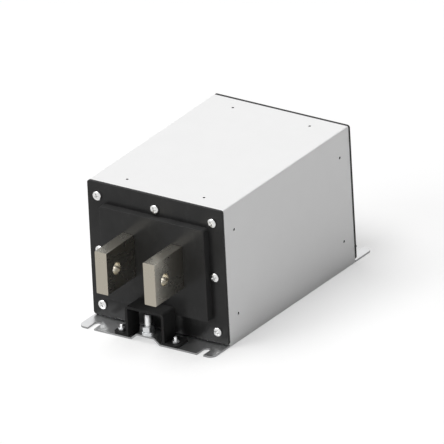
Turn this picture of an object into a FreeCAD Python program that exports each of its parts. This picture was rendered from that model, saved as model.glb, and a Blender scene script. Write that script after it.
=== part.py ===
import FreeCAD, Part
import math
import os

Vec = FreeCAD.Vector

# Line filter for two heavy direct-current conductors, in millimetres.
# X runs across, Y along the conductors and Z up. The origin is on the floor at mid-length.
# Both ends are alike: each end piece is drawn at the front, towards -Y, and turned half round for the rear.

# Housing
housing_width = 175.0
housing_height = 162.4
cover_length = 244.0
cover_sheet = 1.2
cover_bend = 0.3
pilot_diameter = 3.0
pilot_inset = 19.0
pilot_spacing = 100.0
pilot_centre_z = 82.6

# Base plate and its mounting flanges
base_sheet = 2.0
sheet_bend = 1.0
sheet_gap = 0.2
flange_projection = 31.2
flange_corner_radius = 7.5
slot_width = 8.4
slot_depth = 17.0
slot_spacing = 142.0
lip_height = 16.0
lip_setback = 3.5

# Raised platform in each flange, which carries the earth stud
platform_rise = 6.2
platform_top_width = 23.0
platform_top_depth = 17.0
platform_ramp = 7.6
platform_corner_radius = 2.0

# Inner end frames, which carry the threads for the plate screws
frame_sheet = 2.0
frame_flange_depth = 28.0
frame_bottom_depth = 11.0
frame_border = 24.0
frame_window_radius = 8.0
frame_corner_radius = 4.0
frame_corner_relief = 10.0
collar_diameter = 9.0
collar_length = 2.5

# Moulded terminal plates
plate_thickness = 3.0
plate_lift = 1.0
plate_overhang = 0.4
plate_corner_radius = 3.0
plate_edge_radius = 0.4
boss_side_margin = 19.0
boss_top_margin = 23.4
boss_bottom_margin = 26.0
boss_proud = 8.5
boss_taper = 0.6
boss_corner_radius = 3.0
boss_edge_radius = 0.25
boss_wall = 3.0
sleeve_wall = 3.0
sleeve_length = 14.0
rib_thickness = 2.0

# Plate screws
screw_diameter = 6.0
screw_hole = 6.6
screw_length = 12.0
screw_head_diameter = 10.6
screw_head_height = 3.1
screw_head_crown = 1.4
screw_face_diameter = 5.0
screw_crown_share = 0.6
screw_side_margin = 12.8
screw_top_margin = 15.6
screw_bottom_margin = 14.0
thread_gap = 0.1

# Conductor bars
bar_thickness = 15.0
bar_height = 50.0
bar_spacing = 62.6
bar_projection = 62.5
bar_edge_radius = 0.8
bar_gap = 0.15
terminal_hole = 14.0
terminal_setback = 18.5

# Earth terminals
earth_stud_diameter = 8.0
earth_stud_length = 25.0
earth_stud_setback = 6.9
earth_stud_chamfer = 0.8
earth_stud_head = 12.0
earth_stud_head_height = 1.4
earth_washer_hole = 8.4
earth_nut_hex = 13.0
earth_nut_height = 6.5
earth_nut_turn = 12.0
nut_face_share = 0.95
nut_chamfer_angle = 30.0
washer_diameter = 15.0
washer_thickness = 1.6
lock_washer_diameter = 14.8
lock_washer_thickness = 2.0
lock_washer_split = 1.2
lock_washer_pitch = 30.0
lock_washer_turn = 40.0

# Earth terminal covers
tunnel_width = 50.0
tunnel_top_z = 38.7
tunnel_wall = 3.0
tunnel_radius = 3.5
tunnel_gap = 0.3
foot_reach = 17.0
foot_thickness = 3.0
foot_corner_radius = 4.0
cover_stud_diameter = 4.0
cover_stud_length = 12.0
cover_stud_spacing = 70.0
cover_stud_hole = 4.5
cover_stud_chamfer = 0.5
cover_stud_head = 7.0
cover_stud_head_height = 1.2
cover_nut_hex = 7.0
cover_nut_height = 3.2
cover_nut_turn = 20.0

# Choke cores, the former inside them and the cradle below them
core_outer_radius = 69.0
core_width = 36.0
core_head_room = 3.2
core_count = 3
core_pitch = 40.0
core_gap = 0.3
former_wall = 2.4
former_overhang = 1.0
former_web = 5.0
former_window_height = 46.0
former_window_radius = 4.0
cradle_width = 104.0
cradle_fin = 6.0
cradle_end_wall = 3.0
cradle_wall = 4.0
cradle_side_wall = 6.0
cradle_web = 9.0
cradle_screw_spacing = 60.0
cradle_screw_diameter = 4.0
cradle_screw_length = 11.0
cradle_screw_head = 7.6
cradle_screw_gap = 0.1

# Filter boards and what stands on them
board_thickness = 1.6
board_height = 10.0
board_side_gap = 7.8
board_frame_gap = 1.0
board_cradle_gap = 4.7
board_corner_radius = 3.0
post_inset = 5.0
post_diameter = 8.0
post_peg_diameter = 4.0
post_barb_diameter = 5.4
post_tip_diameter = 2.4
post_tip_height = 4.4
post_peg_gap = 0.1
post_root = 1.6
line_capacitor_width = 57.5
line_capacitor_depth = 30.0
line_capacitor_head_room = 8.4
line_capacitor_radius = 2.0
earth_capacitor_size = (11.0, 26.5, 20.0)
earth_capacitor_radius = 1.0
earth_capacitor_gap = 1.7
strap_width = 15.0
strap_thickness = 2.0
strap_bend = 1.0
strap_foot = 15.0
strap_overlap = 18.0
strap_screw_diameter = 5.0
strap_screw_length = 10.0
strap_screw_hex = 8.0
strap_screw_head_height = 3.5
strap_screw_drop = 9.0
strap_hole_gap = 0.15
strap_tap_extra = 1.0
resistor_diameter = 6.0
resistor_waist_diameter = 5.0
resistor_length = 24.0
resistor_cap = 4.0
resistor_gap = 2.0

# Places worked out from the sizes above
fine = 0.01
half_width = housing_width / 2
cover_end = cover_length / 2
plate_face = cover_end + plate_thickness
boss_face = plate_face + boss_proud
flange_end = plate_face + flange_projection
bar_end = plate_face + bar_projection
nest_half_width = half_width - cover_sheet - sheet_gap
nest_top_z = housing_height - cover_sheet - sheet_gap
plate_bottom_z = base_sheet + plate_lift
boss_half_width = half_width - boss_side_margin
boss_bottom_z = plate_bottom_z + boss_bottom_margin
boss_top_z = housing_height - boss_top_margin
platform_top_z = base_sheet + platform_rise
earth_y = -(flange_end - earth_stud_setback)
earth_washer_z = platform_top_z + washer_thickness
earth_nut_z = earth_washer_z + lock_washer_thickness
foot_top_z = base_sheet + foot_thickness
bar_side_x = (bar_spacing + bar_thickness) / 2
bar_centre_z = housing_height - cover_sheet - core_head_room - core_outer_radius
bar_bottom_z = bar_centre_z - bar_height / 2
former_radius = math.hypot(bar_side_x, bar_height / 2) + former_wall
core_inner_radius = former_radius + core_gap
core_row_half = (core_count - 1) * core_pitch / 2 + core_width / 2
cradle_end = core_row_half + core_gap + cradle_end_wall
board_z = base_sheet + board_height
board_top_z = board_z + board_thickness
board_outer_y = cover_end - frame_bottom_depth - board_frame_gap
board_inner_y = cradle_end + board_cradle_gap
board_depth = board_outer_y - board_inner_y
board_centre_y = (board_outer_y + board_inner_y) / 2
board_width = 2 * (nest_half_width - base_sheet - board_side_gap)
earth_capacitor_x = bar_side_x + strap_foot + earth_capacitor_gap + earth_capacitor_size[0] / 2
line_capacitor_height = bar_bottom_z - line_capacitor_head_room - board_top_z
resistor_x = line_capacitor_width / 2 + resistor_gap + resistor_diameter / 2
strap_screw_z = bar_bottom_z + strap_overlap - strap_screw_drop
screw_bottom_z = plate_bottom_z + screw_bottom_margin
screw_top_z = housing_height - screw_top_margin
screw_rows = (screw_bottom_z, (screw_bottom_z + screw_top_z) / 2, screw_top_z)
screw_side_x = half_width - screw_side_margin
screw_places = [(side * screw_side_x, z) for z in screw_rows for side in (-1, 1)] + [(0, screw_top_z)]


def on_xy(z):
    return lambda u, v: Vec(u, v, z)


def on_xz(y):
    return lambda u, v: Vec(u, y, v)


def rectangle(u_low, u_high, v_low, v_high, radius=0.0):
    """Corners of a rectangle, each with the same radius."""
    return [(u, v, radius) for u, v in ((u_low, v_low), (u_high, v_low), (u_high, v_high), (u_low, v_high))]


def outline(corners, place):
    """Closed wire through (u, v, radius) corners, with a tangent arc wherever a corner has a radius."""
    stretches = []
    for index, (u, v, radius) in enumerate(corners):
        corner = Vec(u, v, 0)
        back = (Vec(*corners[index - 1][:2], 0) - corner).normalize()
        ahead = (Vec(*corners[(index + 1) % len(corners)][:2], 0) - corner).normalize()
        half_angle = back.getAngle(ahead) / 2
        reach = radius / math.tan(half_angle)
        inward = (back + ahead).normalize()
        middle = corner + inward * (radius / math.sin(half_angle) - radius)
        stretches.append((corner + back * reach, middle, corner + ahead * reach, radius))
    edges = []
    for index, (start, middle, end, radius) in enumerate(stretches):
        last = stretches[index - 1][2]
        edges.append(Part.makeLine(place(last.x, last.y), place(start.x, start.y)))
        if radius > 0:
            arc = Part.Arc(place(start.x, start.y), place(middle.x, middle.y), place(end.x, end.y))
            edges.append(arc.toShape())
    return Part.Wire(edges)


def prism(corners, place, direction):
    """Solid swept from an outline in a straight line."""
    return Part.Face(outline(corners, place)).extrude(direction)


def frustum(low_corners, low_place, high_corners, high_place):
    """Solid lofted between two outlines with the same number of corners."""
    return Part.makeLoft([outline(low_corners, low_place), outline(high_corners, high_place)], True, True)


def bored(shape, drills):
    return shape.cut(Part.makeCompound(drills))


def rod(diameter, length, foot, axis):
    return Part.makeCylinder(diameter / 2, length, foot, axis)


def turned(profile, foot, axis=Vec(0, 0, 1)):
    """Solid of revolution from (radius, height) points, standing on foot along axis."""
    points = [Vec(radius, 0, height) for radius, height in profile]
    solid = Part.Face(Part.makePolygon(points + points[:1])).revolve(Vec(), Vec(0, 0, 1), 360)
    solid.Placement = FreeCAD.Placement(foot, FreeCAD.Rotation(Vec(0, 0, 1), axis))
    return solid


def hexagon(across_flats, height, foot, axis=Vec(0, 0, 1), turn=0.0):
    """Six-sided prism standing on foot along axis, turned about it by an angle in degrees."""
    corner = across_flats / math.sqrt(3)
    angles = [math.radians(60 * side + turn) for side in range(7)]
    ring = Part.makePolygon([Vec(corner * math.cos(angle), corner * math.sin(angle), 0) for angle in angles])
    solid = Part.Face(ring).extrude(Vec(0, 0, height))
    solid.Placement = FreeCAD.Placement(foot, FreeCAD.Rotation(Vec(0, 0, 1), axis))
    return solid


def rounded_edges(shape, radius, chosen):
    """Fillet the edges for which the test is true."""
    return shape.makeFillet(radius, [edge for edge in shape.Edges if chosen(edge)])


def rounded_block(size, radius, centre_x, centre_y, foot_z):
    """Upright block with rounded vertical edges."""
    width, depth, height = size
    corners = rectangle(centre_x - width / 2, centre_x + width / 2, centre_y - depth / 2,
                        centre_y + depth / 2, radius)
    return prism(corners, on_xy(foot_z), Vec(0, 0, height))


def rear(shape):
    """Copy of a front piece, turned half round for the rear end."""
    copy = shape.copy()
    copy.rotate(Vec(), Vec(0, 0, 1), 180)
    return copy


def both_ends(shapes):
    return Part.makeCompound(shapes + [rear(shape) for shape in shapes])


def mirrored_x(shape):
    return shape.mirror(Vec(), Vec(1, 0, 0))


def make_housing_cover():
    """Folded sheet that forms the top and both sides, with its pilot holes."""
    inner_half = half_width - cover_sheet
    inner_top = housing_height - cover_sheet
    outer_bend = cover_bend + cover_sheet
    section = [
        (-half_width, 0, 0), (-inner_half, 0, 0), (-inner_half, inner_top, cover_bend),
        (inner_half, inner_top, cover_bend), (inner_half, 0, 0), (half_width, 0, 0),
        (half_width, housing_height, outer_bend), (-half_width, housing_height, outer_bend),
    ]
    return bored(prism(section, on_xz(-cover_end), Vec(0, cover_length, 0)), pilot_drills())


def pilot_drills():
    """Drills for the pilot holes that line up the cover with the end frames."""
    drills = []
    for y in (-(cover_end - pilot_inset), cover_end - pilot_inset):
        for side in (-1, 1):
            offset = side * pilot_spacing / 2
            drills.append(rod(pilot_diameter, frame_flange_depth, Vec(offset, y, nest_top_z - cover_bend
                                                                       - frame_sheet), Vec(0, 0, 1)))
            drills.append(rod(pilot_diameter, housing_width, Vec(-half_width, y, pilot_centre_z + offset),
                              Vec(1, 0, 0)))
    return drills


def platform_body(drop):
    """Pressed platform at the front flange's edge; drop shifts it inward by the sheet for its underside."""
    slope = math.atan2(platform_rise, platform_ramp)
    shrink = drop / math.sin(slope) - drop / math.tan(slope)
    top_half = platform_top_width / 2 - shrink
    foot_half = top_half + platform_ramp
    edge = -flange_end - flange_corner_radius
    top_back = -flange_end + platform_top_depth - shrink
    foot_back = top_back + platform_ramp
    radius = platform_corner_radius

    def ring(half, back):
        return [(-half, edge, 0), (half, edge, 0), (half, back, radius), (-half, back, radius)]

    return frustum(ring(foot_half, foot_back), on_xy(base_sheet - drop),
                   ring(top_half, top_back), on_xy(platform_top_z - drop))


def make_base_plate():
    """Bottom sheet with side lips, a mounting flange at each end and a raised platform in each flange."""
    neck_end = cover_end + sheet_gap
    plan = rectangle(-half_width, half_width, -flange_end, -neck_end)
    flange = prism(plan, on_xy(0), Vec(0, 0, base_sheet))
    flange = rounded_edges(flange, flange_corner_radius,
                           lambda edge: is_upright(edge) and at_y(edge, -flange_end))
    window = prism(plan, on_xy(-base_sheet), Vec(0, 0, housing_height))
    flange = flange.fuse(platform_body(0).common(window)).cut(platform_body(base_sheet))
    flange = bored(flange, flange_cuts())
    neck_half = nest_half_width - sheet_bend - base_sheet
    neck = prism(rectangle(-neck_half, neck_half, -neck_end, neck_end), on_xy(0), Vec(0, 0, base_sheet))
    base = neck.fuse([flange, rear(flange), make_lips()])
    return bored(base, base_drills()).removeSplitter()


def make_lips():
    """Tray section whose sides are the base plate's upturned lips."""
    inner_half = nest_half_width - base_sheet
    lip_top = base_sheet + lip_height
    bend = sheet_bend + base_sheet
    section = [
        (-nest_half_width, 0, bend), (nest_half_width, 0, bend), (nest_half_width, lip_top, 0),
        (inner_half, lip_top, 0), (inner_half, base_sheet, sheet_bend), (-inner_half, base_sheet, sheet_bend),
        (-inner_half, lip_top, 0), (-nest_half_width, lip_top, 0),
    ]
    lip_end = cover_end - lip_setback
    return prism(section, on_xz(-lip_end), Vec(0, 2 * lip_end, 0))


def flange_cuts():
    """Open-ended slots and the stepped holes of the press-in studs in the front flange."""
    cuts = []
    radius = slot_width / 2
    for side in (-1, 1):
        centre = side * slot_spacing / 2
        slot_end = slot_depth - flange_end - radius
        slot = rectangle(centre - radius, centre + radius, -flange_end - radius, slot_end)
        cuts.append(prism(slot, on_xy(-base_sheet), Vec(0, 0, 3 * base_sheet)))
        cuts.append(rod(slot_width, 3 * base_sheet, Vec(centre, slot_end, -base_sheet), Vec(0, 0, 1)))
        cuts.append(make_cover_stud(side * cover_stud_spacing / 2))
    cuts.append(make_earth_stud())
    return cuts


def base_drills():
    """Holes in the base plate for the board posts and countersunk holes for the cradle's screws."""
    drills = [rod(post_peg_diameter, 2 * base_sheet, Vec(x, y, 0), Vec(0, 0, 1)) for x, y in post_places()]
    drills += [cradle_screw(x, y, cradle_screw_gap) for x, y in cradle_screw_places()]
    return drills


def is_upright(edge):
    box = edge.BoundBox
    return box.ZLength > box.XLength + box.YLength


def at_y(edge, y):
    return abs(edge.BoundBox.YMin - y) + abs(edge.BoundBox.YMax - y) < fine


def is_foot_corner(edge):
    """True for the upright edges at the earth cover's outer corners."""
    return is_upright(edge) and abs(edge.BoundBox.Center.x) > tunnel_width / 2 + fine


def make_end_frame():
    """Folded frame inside the housing's end, with a window, flanges on four sides and threaded collars."""
    face_y = -cover_end
    back_y = face_y + frame_sheet
    outer = prism(rectangle(-nest_half_width, nest_half_width, base_sheet, nest_top_z, frame_corner_radius),
                  on_xz(face_y), Vec(0, frame_flange_depth, 0))
    outer = rounded_edges(outer, sheet_bend + frame_sheet, lambda edge: at_y(edge, face_y))
    inner = prism(rectangle(-nest_half_width + frame_sheet, nest_half_width - frame_sheet,
                            base_sheet + frame_sheet, nest_top_z - frame_sheet,
                            frame_corner_radius - frame_sheet), on_xz(back_y), Vec(0, frame_flange_depth, 0))
    inner = rounded_edges(inner, sheet_bend, lambda edge: at_y(edge, back_y))
    frame = outer.cut(inner)
    for x, z in screw_places:
        frame = frame.fuse(rod(collar_diameter, frame_sheet + collar_length, Vec(x, face_y, z), Vec(0, 1, 0)))
    window = prism(rectangle(-nest_half_width + frame_border, nest_half_width - frame_border,
                             base_sheet + frame_border, nest_top_z - frame_border, frame_window_radius),
                   on_xz(face_y - frame_sheet), Vec(0, 3 * frame_sheet, 0))
    bores = [rod(screw_diameter + 2 * thread_gap, housing_height, Vec(x, face_y - frame_sheet, z),
                 Vec(0, 1, 0)) for x, z in screw_places]
    return bored(frame, [window] + bores + frame_reliefs() + pilot_drills())


def frame_reliefs():
    """Notches that part the end frame's flanges at its corners and shorten its bottom flange."""
    start = -cover_end + frame_sheet + sheet_bend
    deep = Vec(0, frame_flange_depth, 0)
    reliefs = []
    for side in (-1, 1):
        edge = side * half_width
        inner = side * (nest_half_width - frame_corner_relief)
        low, high = min(edge, inner), max(edge, inner)
        reliefs.append(prism(rectangle(low, high, nest_top_z - frame_corner_relief, housing_height),
                             on_xz(start), deep))
        reliefs.append(prism(rectangle(low, high, 0, base_sheet + lip_height + frame_sheet),
                             on_xz(start), deep))
    reliefs.append(prism(rectangle(-half_width, half_width, 0, base_sheet + lip_height),
                         on_xz(-cover_end + frame_bottom_depth), deep))
    return reliefs


def boss_ring(inset):
    """Outline of the terminal plate's raised block, drawn in by an inset."""
    half = boss_half_width - inset
    return rectangle(-half, half, boss_bottom_z + inset, boss_top_z - inset,
                     max(boss_corner_radius - inset, rib_thickness / 2))


def bar_ring(side, grow, radius):
    """Outline around one conductor bar, grown on all sides."""
    centre = side * bar_spacing / 2
    half = bar_thickness / 2 + grow
    return rectangle(centre - half, centre + half, bar_centre_z - bar_height / 2 - grow,
                     bar_centre_z + bar_height / 2 + grow, radius)


def make_terminal_plate():
    """Moulded plate with a hollow raised block, ribs inside it and a sleeve round each conductor bar."""
    inner_face = -(boss_face - boss_wall)
    plate_half = half_width + plate_overhang
    plate = prism(rectangle(-plate_half, plate_half, plate_bottom_z, housing_height + plate_overhang,
                            plate_corner_radius), on_xz(-plate_face), Vec(0, plate_thickness, 0))
    plate = rounded_edges(plate, plate_edge_radius, lambda edge: at_y(edge, -plate_face))
    boss = frustum(boss_ring(0), on_xz(-plate_face), boss_ring(boss_taper), on_xz(-boss_face))
    boss = rounded_edges(boss, boss_edge_radius, lambda edge: at_y(edge, -boss_face))
    hollow = frustum(boss_ring(boss_wall), on_xz(-cover_end),
                     boss_ring(boss_wall + boss_taper), on_xz(inner_face))
    ribs = Part.makeCompound(boss_ribs()).common(hollow)
    sleeve_depth = Vec(0, sleeve_length - cover_end - inner_face, 0)
    sleeves = [prism(bar_ring(side, bar_gap + sleeve_wall, sleeve_wall), on_xz(inner_face), sleeve_depth)
               for side in (-1, 1)]
    body = plate.fuse(boss).cut(hollow).fuse([ribs] + sleeves)
    slots = [prism(bar_ring(side, bar_gap, bar_edge_radius), on_xz(-boss_face - boss_wall),
                   Vec(0, boss_face, 0)) for side in (-1, 1)]
    holes = [rod(screw_hole, 2 * plate_face, Vec(x, -2 * plate_face, z), Vec(0, 1, 0))
             for x, z in screw_places]
    return bored(body, slots + holes).removeSplitter()


def boss_ribs():
    """Upright and level ribs that stiffen the raised block's face from behind."""
    half = rib_thickness / 2
    depth = Vec(0, boss_face, 0)
    outer_x = (boss_half_width + bar_side_x) / 2
    uprights = [rectangle(x - half, x + half, 0, housing_height) for x in (-outer_x, 0, outer_x)]
    level_step = bar_height / 2
    levels = [rectangle(-half_width, half_width, z - half, z + half)
              for z in (bar_centre_z - level_step, bar_centre_z + level_step)]
    return [prism(corners, on_xz(-boss_face), depth) for corners in uprights + levels]


def make_plate_screw(x, z):
    """Pan-head screw through the terminal plate into the end frame's thread."""
    radius = screw_diameter / 2
    head = screw_head_diameter / 2
    shoulder = screw_head_height - screw_head_crown
    crown = shoulder + screw_head_crown * screw_crown_share
    profile = [
        (0, -screw_length), (radius, -screw_length), (radius, 0), (head, 0), (head, shoulder),
        (head - screw_head_crown / 2, crown), (screw_face_diameter / 2, screw_head_height),
        (0, screw_head_height),
    ]
    return turned(profile, Vec(x, -plate_face, z), Vec(0, -1, 0))


def make_busbar(side):
    """Flat conductor bar right through the filter, with a terminal hole near each end."""
    bar = prism(bar_ring(side, 0, bar_edge_radius), on_xz(-bar_end), Vec(0, 2 * bar_end, 0))
    drills = [rod(terminal_hole, housing_width, Vec(-half_width, y, bar_centre_z), Vec(1, 0, 0))
              for y in (terminal_setback - bar_end, bar_end - terminal_setback)]
    depth = strap_screw_length - strap_thickness + strap_tap_extra
    for y in (-board_centre_y, board_centre_y):
        mouth = Vec(side * bar_side_x, y, strap_screw_z)
        drills.append(rod(strap_screw_diameter + 2 * thread_gap, depth, mouth, Vec(-side, 0, 0)))
    return bored(bar, drills)


def make_stud(foot, diameter, length, chamfer, head_diameter, head_height):
    """Press-in stud whose head lies flush in the underside of the sheet."""
    radius = diameter / 2
    head = head_diameter / 2
    return turned([(0, 0), (head, 0), (head, head_height), (radius, head_height), (radius, length - chamfer),
                   (radius - chamfer, length), (0, length)], foot)


def make_earth_stud():
    return make_stud(Vec(0, earth_y, platform_top_z - base_sheet), earth_stud_diameter, earth_stud_length,
                     earth_stud_chamfer, earth_stud_head, earth_stud_head_height)


def make_cover_stud(x):
    return make_stud(Vec(x, earth_y, 0), cover_stud_diameter, cover_stud_length, cover_stud_chamfer,
                     cover_stud_head, cover_stud_head_height)


def make_nut(across_flats, bore, height, foot, turn):
    """Hexagon nut with both faces chamfered."""
    corner = across_flats / math.sqrt(3)
    face = across_flats / 2 * nut_face_share
    rise = (corner - face) * math.tan(math.radians(nut_chamfer_angle))
    profile = [(0, 0), (face, 0), (corner, rise), (corner, height - rise), (face, height), (0, height)]
    nut = hexagon(across_flats, height, foot, turn=turn).common(turned(profile, foot))
    return nut.cut(rod(bore, height, foot, Vec(0, 0, 1)))


def make_washer(outer, thickness, foot_z):
    foot = Vec(0, earth_y, foot_z)
    up = Vec(0, 0, 1)
    return rod(outer, thickness, foot, up).cut(rod(earth_washer_hole, thickness, foot, up))


def make_lock_washer():
    """Spring washer with its slanting split."""
    washer = make_washer(lock_washer_diameter, lock_washer_thickness, earth_washer_z)
    half = lock_washer_split / 2
    lean = lock_washer_thickness * math.tan(math.radians(lock_washer_pitch))
    below, above = -lock_washer_thickness, 2 * lock_washer_thickness
    slit = prism([(-half - lean, below, 0), (half - lean, below, 0), (half + 2 * lean, above, 0),
                  (2 * lean - half, above, 0)], on_xz(0), Vec(0, -lock_washer_diameter, 0))
    slit.translate(Vec(0, earth_y, earth_washer_z))
    slit.rotate(Vec(0, earth_y, 0), Vec(0, 0, 1), -lock_washer_turn)
    return washer.cut(slit)


def make_earth_cover():
    """Moulded tunnel over the earth stud, open to the front, with a foot on each side."""
    half = tunnel_width / 2
    inner = half - tunnel_wall
    reach = half + foot_reach
    roof = tunnel_top_z - tunnel_wall
    inner_radius = max(tunnel_radius - tunnel_wall, 0)
    section = [
        (-reach, base_sheet, 0), (-inner, base_sheet, 0), (-inner, roof, inner_radius),
        (inner, roof, inner_radius), (inner, base_sheet, 0), (reach, base_sheet, 0), (reach, foot_top_z, 0),
        (half, foot_top_z, 0), (half, tunnel_top_z, tunnel_radius), (-half, tunnel_top_z, tunnel_radius),
        (-half, foot_top_z, 0), (-reach, foot_top_z, 0),
    ]
    cover = prism(section, on_xz(-flange_end), Vec(0, flange_end - boss_face - tunnel_gap, 0))
    cover = rounded_edges(cover, foot_corner_radius, is_foot_corner)
    return bored(cover, [rod(cover_stud_hole, tunnel_top_z, Vec(x, earth_y, 0), Vec(0, 0, 1))
                         for x in (-cover_stud_spacing / 2, cover_stud_spacing / 2)])


def make_choke_core(centre_y):
    """Coated ring of wound magnetic tape."""
    ring = round_bar(core_outer_radius, centre_y, core_width)
    return ring.cut(round_bar(core_inner_radius, centre_y, core_width))


def make_core_former():
    """Insulating plug through the cores, with a slot for each bar and a window between them."""
    end = core_row_half + former_overhang
    body = round_bar(former_radius, 0, 2 * end)
    window_half = (bar_spacing - bar_thickness) / 2 - bar_gap - former_web
    rings = [bar_ring(side, bar_gap, bar_edge_radius) for side in (-1, 1)]
    rings.append(rectangle(-window_half, window_half, bar_centre_z - former_window_height / 2,
                           bar_centre_z + former_window_height / 2, former_window_radius))
    return bored(body, [prism(ring, on_xz(-end), Vec(0, 2 * end, 0)) for ring in rings])


def make_core_cradle():
    """Moulded bed with a round seat for each core, fins between the seats and hollows beneath them."""
    half = cradle_width / 2
    block = prism(rectangle(-half, half, base_sheet, bar_bottom_z), on_xz(-cradle_end),
                  Vec(0, 2 * cradle_end, 0))
    cuts = [round_bar(max(core_outer_radius - cradle_fin, core_inner_radius), 0, 2 * cradle_end)]
    hollow_depth = core_pitch - cradle_web
    for centre_y in core_centres():
        cuts.append(round_bar(core_outer_radius + core_gap, centre_y, core_width + 2 * core_gap))
        hollow = prism(rectangle(cradle_side_wall - half, half - cradle_side_wall, 0, bar_bottom_z),
                       on_xz(centre_y - hollow_depth / 2), Vec(0, hollow_depth, 0))
        cuts.append(hollow.cut(round_bar(core_outer_radius + core_gap + cradle_wall, centre_y, core_pitch)))
    cuts += [rod(cradle_screw_diameter, cradle_screw_length, Vec(x, y, 0), Vec(0, 0, 1))
             for x, y in cradle_screw_places()]
    return bored(block, cuts)


def round_bar(radius, centre_y, length):
    """Cylinder on the cores' axis."""
    return rod(2 * radius, length, Vec(0, centre_y - length / 2, bar_centre_z), Vec(0, 1, 0))


def core_centres():
    return [(index - (core_count - 1) / 2) * core_pitch for index in range(core_count)]


def cradle_screw_places():
    ys = [centre + core_pitch / 2 for centre in core_centres()[:-1]]
    return [(side * cradle_screw_spacing / 2, y) for y in (ys[0], ys[-1]) for side in (-1, 1)]


def cradle_screw(x, y, grow=0.0):
    """Countersunk screw from below, or with grow the hole it needs."""
    head = cradle_screw_head / 2 + grow
    radius = cradle_screw_diameter / 2 + grow
    return turned([(0, 0), (head, 0), (radius, head - radius), (radius, cradle_screw_length),
                   (0, cradle_screw_length)], Vec(x, y, 0))


def post_places():
    """Centres of the board posts at both ends."""
    half_x, half_y = board_width / 2 - post_inset, board_depth / 2 - post_inset
    return [(side * half_x, end * (board_centre_y + step * half_y))
            for end in (-1, 1) for side in (-1, 1) for step in (-1, 1)]


def make_board_post(x, y):
    """Moulded post pressed into the base, with a barbed peg through the board."""
    peg = post_peg_diameter / 2
    body = post_diameter / 2
    shelf = board_height + board_thickness
    end = shelf + post_tip_height
    return turned([(0, -post_root), (peg, -post_root), (peg, 0), (body, 0), (body, board_height),
                   (peg, board_height), (peg, shelf), (post_barb_diameter / 2, shelf),
                   (post_tip_diameter / 2, end), (0, end)], Vec(x, y, base_sheet))


def make_filter_board():
    """Circuit board on its posts at the front end."""
    board = rounded_block((board_width, board_depth, board_thickness), board_corner_radius, 0,
                          -board_centre_y, board_z)
    return bored(board, [rod(post_peg_diameter + 2 * post_peg_gap, housing_height, Vec(x, y, 0), Vec(0, 0, 1))
                         for x, y in post_places()])


def make_strap(side):
    """Copper angle from the board up the outer side of a bar."""
    top_z = bar_bottom_z + strap_overlap
    outer_bend = strap_bend + strap_thickness
    section = [(0, board_top_z, outer_bend), (strap_foot, board_top_z, 0),
               (strap_foot, board_top_z + strap_thickness, 0),
               (strap_thickness, board_top_z + strap_thickness, strap_bend), (strap_thickness, top_z, 0),
               (0, top_z, 0)]
    placed = [(bar_side_x + u, v, radius) for u, v, radius in section]
    strap = prism(placed, on_xz(-board_centre_y - strap_width / 2), Vec(0, strap_width, 0))
    strap = strap.cut(rod(strap_screw_diameter + 2 * strap_hole_gap, housing_width,
                          Vec(0, -board_centre_y, strap_screw_z), Vec(1, 0, 0)))
    return strap if side > 0 else mirrored_x(strap)


def make_strap_screw(side):
    """Hexagon screw that clamps a strap to its bar."""
    seat = Vec(side * (bar_side_x + strap_thickness), -board_centre_y, strap_screw_z)
    outward = Vec(side, 0, 0)
    shank = rod(strap_screw_diameter, strap_screw_length, seat - outward * strap_screw_length, outward)
    return hexagon(strap_screw_hex, strap_screw_head_height, seat, outward).fuse(shank)


def make_resistor():
    """Discharge resistor that lies on the board beside the line capacitor."""
    cap = resistor_diameter / 2
    waist = resistor_waist_diameter / 2
    end = resistor_length
    foot = Vec(resistor_x, -board_centre_y - resistor_length / 2, board_top_z + cap)
    return turned([(0, 0), (cap, 0), (cap, resistor_cap), (waist, resistor_cap), (waist, end - resistor_cap),
                   (cap, end - resistor_cap), (cap, end), (0, end)], foot, Vec(0, 1, 0))


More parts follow.
